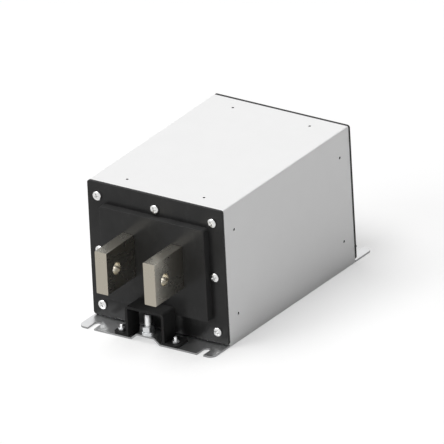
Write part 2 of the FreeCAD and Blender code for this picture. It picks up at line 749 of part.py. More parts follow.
def make_pieces():
    """Every piece of the filter by name; alike fasteners are separate solids under one name."""
    line_capacitor = rounded_block((line_capacitor_width, line_capacitor_depth, line_capacitor_height),
                                   line_capacitor_radius, 0, -board_centre_y, board_top_z)
    pieces = {
        "housing_cover": make_housing_cover(),
        "base_plate": make_base_plate(),
        "plate_screws": both_ends([make_plate_screw(x, z) for x, z in screw_places]),
        "left_busbar": make_busbar(-1),
        "right_busbar": make_busbar(1),
        "earth_studs": both_ends([make_earth_stud()]),
        "earth_washers": both_ends([make_washer(washer_diameter, washer_thickness, platform_top_z)]),
        "earth_lock_washers": both_ends([make_lock_washer()]),
        "earth_nuts": both_ends([make_nut(earth_nut_hex, earth_stud_diameter + 2 * thread_gap,
                                          earth_nut_height, Vec(0, earth_y, earth_nut_z), earth_nut_turn)]),
        "cover_studs": both_ends([make_cover_stud(side * cover_stud_spacing / 2) for side in (-1, 1)]),
        "cover_nuts": both_ends([make_nut(cover_nut_hex, cover_stud_diameter + 2 * thread_gap,
                                          cover_nut_height,
                                          Vec(side * cover_stud_spacing / 2, earth_y, foot_top_z),
                                          cover_nut_turn) for side in (-1, 1)]),
        "core_former": make_core_former(),
        "core_cradle": make_core_cradle(),
        "cradle_screws": Part.makeCompound([cradle_screw(x, y) for x, y in cradle_screw_places()]),
        "earth_capacitors": both_ends([rounded_block(earth_capacitor_size, earth_capacitor_radius,
                                                     side * earth_capacitor_x, -board_centre_y, board_top_z)
                                       for side in (-1, 1)]),
        "bar_straps": both_ends([make_strap(side) for side in (-1, 1)]),
        "strap_screws": both_ends([make_strap_screw(side) for side in (-1, 1)]),
        "board_posts": Part.makeCompound([make_board_post(x, y) for x, y in post_places()]),
        "discharge_resistor": rear(make_resistor()),
    }
    for name, shape in [("terminal_plate", make_terminal_plate()), ("end_frame", make_end_frame()),
                        ("earth_cover", make_earth_cover()), ("filter_board", make_filter_board()),
                        ("line_capacitor", line_capacitor)]:
        pieces["front_" + name] = shape
        pieces["rear_" + name] = rear(shape)
    for name, centre_y in zip(("front", "middle", "rear"), core_centres()):
        pieces[name + "_choke_core"] = make_choke_core(centre_y)
    return pieces


os.makedirs("parts", exist_ok=True)
for piece_name, piece in make_pieces().items():
    piece.exportStep("parts/%s.step" % piece_name)
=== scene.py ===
import logging
import math
import random
from dataclasses import dataclass, field
from enum import Enum
from functools import lru_cache
from typing import Callable, ClassVar, Mapping, Optional, Sequence, Union

import bpy
from mathutils import Matrix, Vector


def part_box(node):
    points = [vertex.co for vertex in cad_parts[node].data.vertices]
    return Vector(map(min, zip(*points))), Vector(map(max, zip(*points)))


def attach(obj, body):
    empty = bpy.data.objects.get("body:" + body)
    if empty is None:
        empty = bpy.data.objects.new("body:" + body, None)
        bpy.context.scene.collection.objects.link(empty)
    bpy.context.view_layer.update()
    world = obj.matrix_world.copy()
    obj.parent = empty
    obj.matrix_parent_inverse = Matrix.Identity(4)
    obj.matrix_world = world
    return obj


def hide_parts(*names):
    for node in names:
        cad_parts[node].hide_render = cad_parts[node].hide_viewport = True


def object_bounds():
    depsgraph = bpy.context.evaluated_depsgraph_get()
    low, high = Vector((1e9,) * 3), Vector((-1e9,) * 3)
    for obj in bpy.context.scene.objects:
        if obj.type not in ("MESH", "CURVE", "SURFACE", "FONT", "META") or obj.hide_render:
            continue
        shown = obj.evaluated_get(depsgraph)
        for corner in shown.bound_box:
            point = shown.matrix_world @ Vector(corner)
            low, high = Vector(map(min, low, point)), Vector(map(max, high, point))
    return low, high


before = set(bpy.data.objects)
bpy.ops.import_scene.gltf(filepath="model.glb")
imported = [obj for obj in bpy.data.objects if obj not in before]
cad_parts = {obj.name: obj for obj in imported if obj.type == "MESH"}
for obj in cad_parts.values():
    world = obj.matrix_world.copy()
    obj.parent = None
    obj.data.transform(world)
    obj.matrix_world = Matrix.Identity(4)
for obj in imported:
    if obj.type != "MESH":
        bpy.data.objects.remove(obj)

CAD_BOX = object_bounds()
MM = 0.001
UP = Vector((0.0, 0.0, 1.0))
SHARP_ANGLE = math.radians(35.0)

log = logging.getLogger("line_filter")

Number = Union[int, float]
Pair = tuple[float, float]
Grain = Union[float, tuple[float, float, float]]
Colour = tuple[float, float, float]
Varying = Union["Value", Number]


# Shader maths


class Value:
    """A number, colour or vector that varies over a surface: one output socket of a material's nodes.

    Arithmetic with numbers or with other values adds Math nodes.
    """

    def __init__(self, graph: "Graph", socket: bpy.types.NodeSocket) -> None:
        """Wrap one output socket of the graph."""
        self.graph = graph
        self.socket = socket

    def maths(self, operation: str, *operands: Varying) -> "Value":
        """Add one Math node.

        Args:
            operation: The node's operation.
            operands: The values or numbers of its sockets, in order.

        Returns:
            The result.
        """
        return self.graph.node("ShaderNodeMath", {"operation": operation}, dict(enumerate(operands)))

    def __add__(self, other: Varying) -> "Value":
        """Sum with a number or a value."""
        return self.maths("ADD", self, other)

    __radd__ = __add__

    def __sub__(self, other: Varying) -> "Value":
        """Difference from a number or a value."""
        return self.maths("SUBTRACT", self, other)

    def __rsub__(self, other: Varying) -> "Value":
        """A number or a value less this one."""
        return self.maths("SUBTRACT", other, self)

    def __mul__(self, other: Varying) -> "Value":
        """Product with a number or a value."""
        return self.maths("MULTIPLY", self, other)

    __rmul__ = __mul__

    def rising(self, low: float, high: float) -> "Value":
        """Smooth step.

        Args:
            low: Where the result leaves 0.
            high: Where the result reaches 1.

        Returns:
            A value from 0 to 1.
        """
        return self.graph.node("ShaderNodeMapRange", {"interpolation_type": "SMOOTHSTEP"},
                               {"Value": self, "From Min": low, "From Max": high})

    def larger(self, other: Varying) -> "Value":
        """The larger of this and another value."""
        return self.maths("MAXIMUM", self, other)

    def size(self) -> "Value":
        """This value without its sign."""
        return self.maths("ABSOLUTE", self)

    def root(self) -> "Value":
        """The square root of this value."""
        return self.maths("SQRT", self)

    def sine(self) -> "Value":
        """The sine of this value, in radians."""
        return self.maths("SINE", self)

    def swing(self, reach: float) -> "Value":
        """This value's swing about its middle, times a reach."""
        return reach * (self - 0.5)

    def mixed(self, other: "Value", share: float) -> "Value":
        """This value with a share of another in it."""
        return (1 - share) * self + share * other


class Graph:
    """The nodes of one material or world, added one expression at a time."""

    # A Mix node has sockets for numbers and vectors before those for colours.
    MIX_FIRST: ClassVar[int] = 6
    MIX_SECOND: ClassVar[int] = 7
    MIX_RESULT: ClassVar[int] = 2

    def __init__(self, tree: bpy.types.NodeTree) -> None:
        """Start from an empty node tree."""
        tree.nodes.clear()
        self.tree = tree

    def node(self, kind: str, settings: Optional[Mapping[str, object]] = None,
             inputs: Optional[Mapping[Union[int, str], object]] = None, output: Union[int, str] = 0) -> Value:
        """Add one node.

        Args:
            kind: The node's type.
            settings: Its properties, which are set first; "stops" holds a ramp's (place, colour) pairs.
            inputs: A value or a constant for each named or numbered input.
            output: The output that is wanted.

        Returns:
            That output, or the first input of a node that has no output.
        """
        node = self.tree.nodes.new(kind)
        for name, setting in (settings or {}).items():
            if name == "stops":
                self.set_stops(node.color_ramp, setting)
            else:
                setattr(node, name, setting)
        for key, given in (inputs or {}).items():
            if isinstance(given, Value):
                self.tree.links.new(given.socket, node.inputs[key])
            else:
                node.inputs[key].default_value = given
        return Value(self, node.outputs[output] if node.outputs else node.inputs[0])

    @staticmethod
    def set_stops(ramp: bpy.types.ColorRamp, stops: Sequence[tuple[float, Colour]]) -> None:
        """Give a ramp its stops.

        Args:
            ramp: The ramp.
            stops: Pairs of place and colour, from 0 to 1.
        """
        while len(ramp.elements) < len(stops):
            ramp.elements.new(1.0)
        for element, (place, colour) in zip(ramp.elements, stops):
            element.position = place
            element.color = (*colour, 1.0)

    @property
    def place(self) -> Value:
        """Position on the object in metres, which stays with the object."""
        return self.node("ShaderNodeTexCoord", output="Object")

    def axis(self, name: str) -> Value:
        """One coordinate of the position, X, Y or Z, in metres."""
        return self.node("ShaderNodeSeparateXYZ", inputs={0: self.place}, output=name)

    def facing(self, name: str) -> Value:
        """How far the surface faces along an axis of the object, either way, from 0 to 1."""
        normal = self.node("ShaderNodeTexCoord", output="Normal")
        return self.node("ShaderNodeSeparateXYZ", inputs={0: normal}, output=name).size()

    def cloud(self, grain: Grain, detail: float = 2.0) -> Value:
        """Noise whose grains have a chosen size.

        Args:
            grain: Size of a grain in millimetres, one for all ways or one each along X, Y and Z.
            detail: Number of finer layers.

        Returns:
            A value from 0 to 1, mostly near the middle.
        """
        lengths = grain if isinstance(grain, tuple) else (grain,) * 3
        scale = [1.0 / (length * MM) for length in lengths]
        stretched = self.node("ShaderNodeVectorMath", {"operation": "MULTIPLY"}, {0: self.place, 1: scale})
        return self.node("ShaderNodeTexNoise", inputs={"Vector": stretched, "Scale": 1.0, "Detail": detail})

    def cells(self, size: float) -> Value:
        """Distance from the nearest cell's centre, in cells of that size in millimetres."""
        return self.node("ShaderNodeTexVoronoi", inputs={"Vector": self.place, "Scale": 1.0 / (size * MM)})

    def blend(self, share: Varying, first: Union[Value, Colour], second: Union[Value, Colour]) -> Value:
        """Mix two colours.

        Args:
            share: How much of the second colour is taken.
            first: The colour at 0.
            second: The colour at 1.

        Returns:
            The mixed colour.
        """
        ends = {self.MIX_FIRST: first, self.MIX_SECOND: second}
        inputs = {key: end if isinstance(end, Value) else (*end, 1.0) for key, end in ends.items()}
        return self.node("ShaderNodeMix", {"data_type": "RGBA"}, {0: share, **inputs}, self.MIX_RESULT)

    def ramp(self, share: Value, stops: Sequence[tuple[float, Colour]]) -> Value:
        """Colour that follows a value through stops.

        Args:
            share: The value, from 0 to 1.
            stops: Pairs of place and colour, in rising order.

        Returns:
            The colour.
        """
        return self.node("ShaderNodeValToRGB", {"stops": stops}, {"Fac": share})

    def relief(self, height: Value, depth: float) -> Value:
        """Surface normals of a fine relief.

        Args:
            height: The relief from 0 to 1.
            depth: Its depth in millimetres.

        Returns:
            The normals.
        """
        return self.node("ShaderNodeBump", inputs={"Strength": 1.0, "Distance": depth * MM, "Height": height},
                         output="Normal")


# Finishes


@dataclass(frozen=True)
class Coat:
    """What a finish gives the shader: each field is constant or varies over the surface."""

    colour: Union[Value, Colour]
    roughness: Varying
    metallic: Varying = 0.0
    normal: Optional[Value] = None
    shine: float = 0.5


@dataclass(frozen=True)
class Finish:
    """A finish that a maker would name; each kind paints its own coat.

    Its clouds turn into patches between two values of the noise, and its colour goes between two shades.
    Grains and depths are in millimetres.
    """

    slot: str
    colour: Colour
    roughness: float
    look: str = "finish"
    patches: Pair = (0.3, 0.7)
    shades: Pair = (0.88, 1.12)

    def coat(self, graph: Graph) -> Coat:
        """Work out the coat.

        Args:
            graph: The material's nodes.

        Returns:
            The coat.
        """
        raise NotImplementedError

    def shade(self, share: float) -> Colour:
        """The finish's colour, lighter or darker by a share."""
        return tuple(min(channel * share, 1.0) for channel in self.colour)

    def shaded(self, share: Value) -> Value:
        """The finish's colour, from its first shade where a value is 0 to its second where it is 1."""
        first, second = self.shades
        return share.graph.blend(share, self.shade(first), self.shade(second))


def blank_material(name: str) -> tuple[bpy.types.Material, Graph]:
    """Start a material that has no nodes yet.

    Args:
        name: The material's name.

    Returns:
        The material and its nodes.
    """
    material = bpy.data.materials.new(name)
    material.use_nodes = True
    return material, Graph(material.node_tree)


@lru_cache(maxsize=None)
def material_of(finish: Finish) -> bpy.types.Material:
    """Build a finish's material once.

    Args:
        finish: The finish.

    Returns:
        Its material.
    """
    material, graph = blank_material(finish.slot + "_" + finish.look)
    coat = finish.coat(graph)
    colour = coat.colour if isinstance(coat.colour, Value) else (*coat.colour, 1.0)
    inputs = {"Base Color": colour, "Roughness": coat.roughness, "Metallic": coat.metallic,
              "Specular IOR Level": coat.shine}
    if coat.normal:
        inputs["Normal"] = coat.normal
    shader = graph.node("ShaderNodeBsdfPrincipled", inputs=inputs)
    graph.node("ShaderNodeOutputMaterial", inputs={"Surface": shader})
    return material


@dataclass(frozen=True)
class PowderCoat(Finish):
    """Baked powder paint with a faint orange peel, and near-black painted shade inside and in the holes."""

    shades: Pair = (0.994, 1.006)
    mottle_grain: float = 30.0
    peel_grain: float = 1.6
    peel_depth: float = 0.006
    peel_roughness: float = 0.06
    # near-black colour painted inside the cover and in its holes, standing in for their shade
    painted_inner_shade: Colour = (0.012, 0.012, 0.013)
    bend_radius: float = 1.5
    paint_depth: float = 0.2

    def coat(self, graph: Graph) -> Coat:
        """Colour with a faint mottle under an orange-peel skin where the folded cover's skin is, painted
        shade elsewhere.

        Args:
            graph: The material's nodes.

        Returns:
            The coat.
        """
        paint = self.shaded(graph.cloud(self.mottle_grain).rising(*self.patches))
        peel = graph.cloud(self.peel_grain, detail=1.0)
        # painted shade: near-black colour wherever the outer skin is not
        return Coat(graph.blend(self.outside(graph), self.painted_inner_shade, paint),
                    self.roughness + peel.swing(self.peel_roughness),
                    normal=graph.relief(peel, self.peel_depth))

    def outside(self, graph: Graph) -> Value:
        """Work out where the cover's outer skin and its cut ends are.

        Args:
            graph: The material's nodes.

        Returns:
            1 on the outer skin and the cut ends, 0 inside and in the holes, where the shade is painted.
        """
        cover = Extent.of("housing_cover")
        bend, depth, end = self.bend_radius * MM, self.paint_depth * MM, cover.high.y * MM
        sideways = (graph.axis("X").size() - (cover.high.x * MM - bend)).larger(0.0)
        upward = (graph.axis("Z") - (cover.high.z * MM - bend)).larger(0.0)
        reach = (sideways * sideways + upward * upward).root()
        skin = reach.rising(bend - depth, bend - depth / 2)
        return skin.larger(graph.axis("Y").size().rising(end - depth, end))


@dataclass(frozen=True)
class PlatedSheet(Finish):
    """Bright-zinc cold-rolled sheet: rolling grain, faint bloom, duller sheared edges, painted shade on
    upright faces.
    """

    patches: Pair = (0.35, 0.7)
    shades: Pair = (1.02, 0.96)
    rolled_grain: Grain = (0.35, 14.0, 0.35)
    rolled_depth: float = 0.0008
    rolled_roughness: float = 0.06
    bloom_grain: float = 22.0
    bloom_roughness: float = 0.05
    edge_facing: Pair = (0.3, 0.5)
    # upright faces are darker: partly the greyer sheared edges, partly painted shade
    sheared_edge_and_painted_shade: float = 0.42
    edge_roughness: float = 0.2

    def coat(self, graph: Graph) -> Coat:
        """Metal with rolling grain in its gloss, a cloudy bloom in its colour and painted shade on upright
        faces.

        Args:
            graph: The material's nodes.

        Returns:
            The coat.
        """
        rolled = graph.cloud(self.rolled_grain)
        bloom = graph.cloud(self.bloom_grain, detail=3.0).rising(*self.patches)
        face = graph.facing("Z").rising(*self.edge_facing)
        # upright faces take the darker colour: sheared edges in part, painted shade in part
        colour = graph.blend(face, self.shade(self.sheared_edge_and_painted_shade), self.shaded(bloom))
        roughness = self.roughness + rolled.swing(self.rolled_roughness) + self.bloom_roughness * bloom
        return Coat(colour, roughness + self.edge_roughness * (1 - face), metallic=1.0,
                    normal=graph.relief(rolled, self.rolled_depth))


@dataclass(frozen=True)
class TinnedBar(Finish):
    """Tin plate on a drawn copper bar: long draw marks, cloudy tarnish and darker sawn ends."""

    patches: Pair = (0.35, 0.7)
    draw_grain: Grain = (2.5, 90.0, 2.5)
    draw_depth: float = 0.0004
    tarnish: Colour = (0.46, 0.42, 0.35)
    tarnish_grain: Grain = (14.0, 30.0, 14.0)
    tarnish_share: float = 0.5
    tarnish_roughness: float = 0.02
    sawn: Colour = (0.405, 0.375, 0.315)
    sawn_facing: Pair = (0.6, 0.9)

    def coat(self, graph: Graph) -> Coat:
        """Metal with draw marks along the bar and warm tarnish clouds.

        Args:
            graph: The material's nodes.

        Returns:
            The coat.
        """
        draw = graph.cloud(self.draw_grain, detail=1.0)
        clouds = graph.cloud(self.tarnish_grain).rising(*self.patches)
        tinned = graph.blend(self.tarnish_share * clouds, self.colour, self.tarnish)
        colour = graph.blend(graph.facing("Y").rising(*self.sawn_facing), tinned, self.sawn)
        return Coat(colour, self.roughness + self.tarnish_roughness * clouds, metallic=1.0,
                    normal=graph.relief(draw, self.draw_depth))


@dataclass(frozen=True)
class BrightFastener(Finish):
    """Bright plating on turned or rolled steel, with fine tool marks."""

    patches: Pair = (0.35, 0.65)
    shades: Pair = (0.94, 1.04)
    tool_grain: Grain = (3.0, 3.0, 0.25)
    tool_depth: float = 0.002
    cloud_grain: float = 2.5
    cloud_roughness: float = 0.08

    def coat(self, graph: Graph) -> Coat:
        """Metal with level tool marks and a slightly cloudy plating.

        Args:
            graph: The material's nodes.

        Returns:
            The coat.
        """
        tool = graph.cloud(self.tool_grain, detail=1.0)
        cloud = graph.cloud(self.cloud_grain)
        return Coat(self.shaded(cloud.rising(*self.patches)),
                    self.roughness + cloud.swing(self.cloud_roughness),
                    metallic=1.0, normal=graph.relief(tool, self.tool_depth))


@dataclass(frozen=True)
class Moulding(Finish):
    """Moulded plastic with a spark-eroded skin and broad flow marks, duller where it slid along the mould."""

    skin_grain: float = 0.5
    skin_depth: float = 0.006
    skin_roughness: float = 0.05
    flow_grain: Grain = (25.0, 25.0, 40.0)
    flow_roughness: float = 0.06
    slid_facing: Pair = (0.5, 0.9)
    slid_roughness: float = 0.0
    shine: float = 0.5

    def coat(self, graph: Graph) -> Coat:
        """Plastic whose gloss follows its skin and its flow marks.

        Args:
            graph: The material's nodes.

        Returns:
            The coat.
        """
        skin = graph.cloud(self.skin_grain, detail=1.0)
        flow = graph.cloud(self.flow_grain).rising(*self.patches)
        roughness = self.roughness + flow.swing(self.flow_roughness) + skin.swing(self.skin_roughness)
        if self.slid_roughness:
            roughness += self.slid_roughness * (1 - graph.facing("Y").rising(*self.slid_facing))
        return Coat(self.shaded(flow), roughness, normal=graph.relief(skin, self.skin_depth),
                    shine=self.shine)


@dataclass(frozen=True)
class Laminate(Finish):
    """Glass-cloth circuit board under a solder mask."""

    shades: Pair = (0.75, 1.25)
    thread: float = 0.9
    weave_depth: float = 0.01
    weave_share: float = 0.6
    cloud_grain: float = 14.0
    cloud_roughness: float = 0.1

    def coat(self, graph: Graph) -> Coat:
        """Mask whose gloss and relief show the crossed threads of the cloth.

        Args:
            graph: The material's nodes.

        Returns:
            The coat.
        """
        turns = math.tau / (self.thread * MM)
        warp, weft = ((graph.axis(name) * turns).sine() for name in ("X", "Y"))
        weave = 0.5 + 0.25 * (warp + weft)
        cloud = graph.cloud(self.cloud_grain, detail=3.0)
        return Coat(self.shaded(cloud.mixed(weave, self.weave_share)),
                    self.roughness + cloud.swing(self.cloud_roughness),
                    normal=graph.relief(weave, self.weave_depth))


@dataclass(frozen=True)
class EpoxyCoat(Finish):
    """Thick sprayed epoxy over a wound core, so that the winding shows faintly through it."""

    winding_grain: Grain = (6.6, 60.0, 6.6)
    winding_share: float = 0.3
    sag_grain: float = 3.0
    sag_depth: float = 0.05
    sag_roughness: float = 0.12

    def coat(self, graph: Graph) -> Coat:
        """Coat with sags and the rings of the winding.

        Args:
            graph: The material's nodes.

        Returns:
            The coat.
        """
        winding = graph.cloud(self.winding_grain, detail=1.0)
        sag = graph.cloud(self.sag_grain)
        return Coat(self.shaded(sag.rising(*self.patches)), self.roughness + sag.swing(self.sag_roughness),
                    normal=graph.relief(sag.mixed(winding, self.winding_share), self.sag_depth))


@dataclass(frozen=True)
class BareCopper(Finish):
    """Punched and brushed copper with a brown bloom where it has been handled."""

    patches: Pair = (0.4, 0.75)
    rosy_place: float = 0.55
    rosy_shade: float = 0.85
    bloom: Colour = (0.52, 0.25, 0.15)
    bloom_grain: float = 9.0
    bloom_roughness: float = 0.15
    brush_grain: Grain = (0.3, 6.0, 0.3)
    brush_depth: float = 0.002

    def coat(self, graph: Graph) -> Coat:
        """Metal that goes from bright through rosy to brown clouds, which dull it.

        Args:
            graph: The material's nodes.

        Returns:
            The coat.
        """
        clouds = graph.cloud(self.bloom_grain, detail=3.0)
        brushed = graph.cloud(self.brush_grain)
        bright, brown = self.patches
        rosy = (self.rosy_place, self.shade(self.rosy_shade))
        colour = graph.ramp(clouds, ((bright, self.colour), rosy, (brown, self.bloom)))
        roughness = self.roughness + self.bloom_roughness * clouds.rising(bright, brown)
        return Coat(colour, roughness, metallic=1.0, normal=graph.relief(brushed, self.brush_depth))


@dataclass(frozen=True)
class CementCoat(Finish):
    """Sanded cement over a wound resistor."""

    shades: Pair = (0.7, 1.2)
    grit_grain: float = 0.5
    grit_roughness: float = 0.1
    pore: float = 0.6
    pore_edges: Pair = (0.1, 0.5)
    pore_tint: float = 0.5
    pore_relief: float = 0.6
    relief_depth: float = 0.08

    def coat(self, graph: Graph) -> Coat:
        """Gritty coat with dark pores.

        Args:
            graph: The material's nodes.

        Returns:
            The coat.
        """
        grit = graph.cloud(self.grit_grain, detail=3.0)
        pores = graph.cells(self.pore).rising(*self.pore_edges)
        return Coat(self.shaded(grit.mixed(pores, self.pore_tint)),
                    self.roughness + grit.swing(self.grit_roughness),
                    normal=graph.relief(grit.mixed(pores, self.pore_relief), self.relief_depth))


# Meshes


Point = Pair
Ring = Callable[[float], Point]


def ring(radius: float, height: float) -> Ring:
    """A plain round ring of (radius, height) points in millimetres."""
    return lambda angle: (radius, height)


def even_angles(count: int) -> list[float]:
    """Angles in even steps round a full turn, in radians."""
    return [math.tau * index / count for index in range(count)]


@dataclass
class Skin:
    """Points in millimetres and faces of one or more closed skins."""

    points: list[Vector] = field(default_factory=list)
    faces: list[tuple[int, ...]] = field(default_factory=list)

    def add(self, other: "Skin", place: Matrix) -> None:
        """Add a placed copy of another skin.

        Args:
            other: The skin that is copied.
            place: Where the copy stands.
        """
        start = len(self.points)
        self.points += [place @ point for point in other.points]
        self.faces += [tuple(start + index for index in face) for face in other.faces]

    @classmethod
    def swept(cls, rings: Sequence[Ring], angles: Sequence[float], closed: bool) -> "Skin":
        """Skin through rings about the Z axis.

        Args:
            rings: Radius and height at an angle, from one end of the section to the other, with the outside
                on the left of the way round.
            angles: The angles of the points, in rising order round a full turn.
            closed: True where the section is a loop round a bore, False where its ends lie on the axis.

        Returns:
            The closed skin.
        """
        skin = cls()
        count = len(angles)
        for each in rings:
            for angle in angles:
                radius, height = each(angle)
                skin.points.append(Vector((radius * math.cos(angle), radius * math.sin(angle), height)))
        pairs = list(zip(range(len(rings)), range(1, len(rings)))) + ([(len(rings) - 1, 0)] if closed else [])
        for low, high in pairs:
            for index in range(count):
                ahead = (index + 1) % count
                skin.faces.append((low * count + index, low * count + ahead, high * count + ahead,
                                   high * count + index))
        if not closed:
            skin.faces.append(tuple(reversed(range(count))))
            top = (len(rings) - 1) * count
            skin.faces.append(tuple(range(top, top + count)))
        return skin

    @classmethod
    def arc_swept(cls, section: Sequence[Point], start: float, end: float, steps: int, lean: float) -> "Skin":
        """Skin of a section swept part of the way round the Z axis, with slanting ends.

        Args:
            section: Corners (radius, height), with the outside on the left of the way round.
            start: First angle in radians.
            end: Last angle in radians.
            steps: Number of stretches between them.
            lean: How far the ends lean round the circle per unit of height.

        Returns:
            The closed skin.
        """
        skin = cls()
        count = len(section)
        for step in range(steps + 1):
            share = step / steps
            for radius, height in section:
                angle = start + (end - start) * share + lean * height / radius
                skin.points.append(Vector((radius * math.cos(angle), radius * math.sin(angle), height)))
        for step in range(steps):
            for index in range(count):
                ahead = (index + 1) % count
                low, high = step * count, (step + 1) * count
                skin.faces.append((low + ahead, low + index, high + index, high + ahead))
        skin.faces.append(tuple(range(count)))
        skin.faces.append(tuple(reversed(range(steps * count, (steps + 1) * count))))
        return skin


class End(Enum):
    """The two ends of the filter, with the turn that brings a front piece there."""

    FRONT = 0.0
    REAR = math.pi

    @property
    def turn(self) -> Matrix:
        """Rotation about the filter's upright middle axis."""
        return Matrix.Rotation(self.value, 4, "Z")


def at_both_ends(places: Sequence[Matrix]) -> list[Matrix]:
    """Places at the front, and the same turned half round for the rear."""
    return [end.turn @ place for end in End for place in places]


def moved(x: float, y: float, z: float, turn: float = 0.0) -> Matrix:
    """Place at (x, y, z), turned about its upright axis by an angle in radians."""
    return Matrix.Translation((x, y, z)) @ Matrix.Rotation(turn, 4, "Z")


@dataclass(frozen=True)
class Extent:
    """A CAD node's box in millimetres."""

    low: Vector
    high: Vector

    @classmethod
    def of(cls, node: str) -> "Extent":
        """Read the box of a node from the frame."""
        low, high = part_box(node)
        return cls(low / MM, high / MM)


def put_in_scene(name: str, data: bpy.types.ID) -> bpy.types.Object:
    """Make an object of a mesh, a lamp or a camera.

    Args:
        name: The object's name.
        data: What it is made of.

    Returns:
        The object, linked to the scene.
    """
    made = bpy.data.objects.new(name, data)
    bpy.context.scene.collection.objects.link(made)
    return made


def make_piece(name: str, skin: Skin, places: Sequence[Matrix], finish: Finish) -> bpy.types.Object:
    """Make the piece that stands for a CAD node of the same name.

    Args:
        name: The CAD node.
        skin: One copy of the piece, in its own frame.
        places: Where its copies stand.
        finish: Its finish.

    Returns:
        The object.
    """
    whole = Skin()
    for place in places:
        whole.add(skin, place)
    mesh = bpy.data.meshes.new(name + "_mesh")
    mesh.from_pydata([point * MM for point in whole.points], [], whole.faces)
    mesh.materials.append(material_of(finish))
    mesh.shade_smooth()
    mesh.set_sharp_from_angle(angle=SHARP_ANGLE)
    made = put_in_scene(name + "_detailed", mesh)
    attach(made, "root")
    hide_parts(name)
    log.info("made %s: %d copies, %d faces", name, len(places), len(mesh.polygons))
    return made


def dress(node: str, finish: Finish) -> bpy.types.Object:
    """Give a CAD node its finish.

    Args:
        node: The node's name.
        finish: Its finish.

    Returns:
        The node's object.
    """
    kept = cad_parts[node]
    for material_slot in kept.material_slots:
        material_slot.material = material_of(finish)
    log.info("dressed %s in %s", node, finish.slot)
    return kept


# Fasteners


@dataclass(frozen=True)
class Thread:
    """A standard metric thread, in millimetres."""

    diameter: float
    pitch: float

    DEPTH_SHARE: ClassVar[float] = 0.6134
    CREST_SHARE: ClassVar[float] = 0.125
    ROOT_SHARE: ClassVar[float] = 0.25

    def radius(self, height: float, angle: float) -> float:
        """Radius of the thread's surface.

        Args:
            height: Height along the axis.
            angle: Angle round the axis in radians.

        Returns:
            The radius.
        """
        phase = (height / self.pitch - angle / math.tau) % 1.0
        flank = abs(2 * phase - 1)
        fall = (flank - self.CREST_SHARE) / (1 - self.CREST_SHARE - self.ROOT_SHARE)
        return self.diameter / 2 - self.DEPTH_SHARE * self.pitch * min(max(fall, 0.0), 1.0)


@dataclass(frozen=True)
class Stud:
    """Press-in stud with a flush head below the sheet and a rolled thread above it."""

    thread: Thread
    length: float
    head_diameter: float
    head_height: float
    chamfer: float
    plain_length: float
    edge: float = 0.2
    runout_slope: float = 0.5
    rings_per_pitch: int = 12
    sides: int = 48

    def skin(self) -> Skin:
        """Build the stud on its foot.

        Returns:
            The skin, with the thread running up to the chamfered end.
        """
        head, radius = self.head_diameter / 2, self.thread.diameter / 2
        rings = [ring(head - self.edge, 0), ring(head, self.edge), ring(head, self.head_height),
                 ring(radius, self.head_height), ring(radius, self.plain_length)]
        step = self.thread.pitch / self.rings_per_pitch
        count = int((self.length - self.plain_length) / step)
        rings += [self.thread_ring(self.length - (count - index) * step) for index in range(1, count + 1)]
        return Skin.swept(rings, even_angles(self.sides), closed=False)

    def thread_ring(self, height: float) -> Ring:
        """One ring of the thread, which runs out at the sheet and at the chamfered end.

        Args:
            height: Height along the axis.

        Returns:
            The ring.
        """
        top = self.thread.diameter / 2 - self.chamfer + (self.length - height)
        runout = self.thread.diameter / 2 - (height - self.plain_length) * self.runout_slope

        def at(angle: float) -> Point:
            """Radius and height at an angle."""
            cut = self.thread.radius(height, angle)
            return min(max(cut, runout), top), height

        return at


@dataclass(frozen=True)
class HexNut:
    """Hexagon nut, chamfered on both faces, with countersunk thread ends."""

    across_flats: float
    bore: float
    height: float
    face_share: float = 0.95
    chamfer_angle: float = 30.0
    countersink: float = 0.4
    sides: int = 72

    def skin(self) -> Skin:
        """Build the nut on its lower face.

        Returns:
            The skin, with a corner on the X axis.
        """
        bore, face = self.bore / 2, self.across_flats / 2 * self.face_share
        sink = self.countersink

        def lower(angle: float) -> Point:
            """Lower edge of the flats."""
            radius = self.flat_radius(angle)
            return radius, self.fall(radius)

        def upper(angle: float) -> Point:
            """Upper edge of the flats."""
            radius = self.flat_radius(angle)
            return radius, self.height - self.fall(radius)

        rings = [ring(face, 0), lower, upper, ring(face, self.height), ring(bore + sink, self.height),
                 ring(bore, self.height - sink), ring(bore, sink), ring(bore + sink, 0)]
        return Skin.swept(rings, even_angles(self.sides), closed=True)

    def flat_radius(self, angle: float) -> float:
        """Radius of the flats at an angle in radians."""
        sixth = math.tau / 6
        return self.across_flats / 2 / math.cos(angle % sixth - sixth / 2)

    def fall(self, radius: float) -> float:
        """How far the chamfer has fallen at a radius outside the face circle."""
        return (radius - self.across_flats / 2 * self.face_share) * math.tan(math.radians(self.chamfer_angle))


@dataclass(frozen=True)
class Washer:
    """Stamped washer with rounded upper rims, and sharp lower ones but for a small bevel outside."""

    outer: float
    hole: float
    thickness: float
    rim: float = 0.3
    sides: int = 72

    def section(self) -> list[Point]:
        """Draw the section.

        Returns:
            Its corners as (radius, height), anticlockwise.
        """
        outer, hole, top, rim = self.outer / 2, self.hole / 2, self.thickness, self.rim
        knee = rim * (1 - math.sqrt(0.5))
        return [(hole, 0), (outer - rim / 2, 0), (outer, rim / 2),
                (outer, top - rim), (outer - knee, top - knee), (outer - rim, top),
                (hole + rim, top), (hole + knee, top - knee), (hole, top - rim)]

    def skin(self) -> Skin:
        """Build the washer on its lower face."""
        return Skin.swept([ring(*corner) for corner in self.section()], even_angles(self.sides), closed=True)


@dataclass(frozen=True)
class SpringWasher(Washer):
    """Split spring washer."""

    split: float = 1.2
    slant: float = 30.0

    def skin(self) -> Skin:
        """Build the washer on its lower face.

        Returns:
            The skin, with the split on the X axis.
        """
        half = self.split / self.outer
        lean = math.tan(math.radians(self.slant))
        return Skin.arc_swept(self.section(), half, math.tau - half, self.sides, lean)


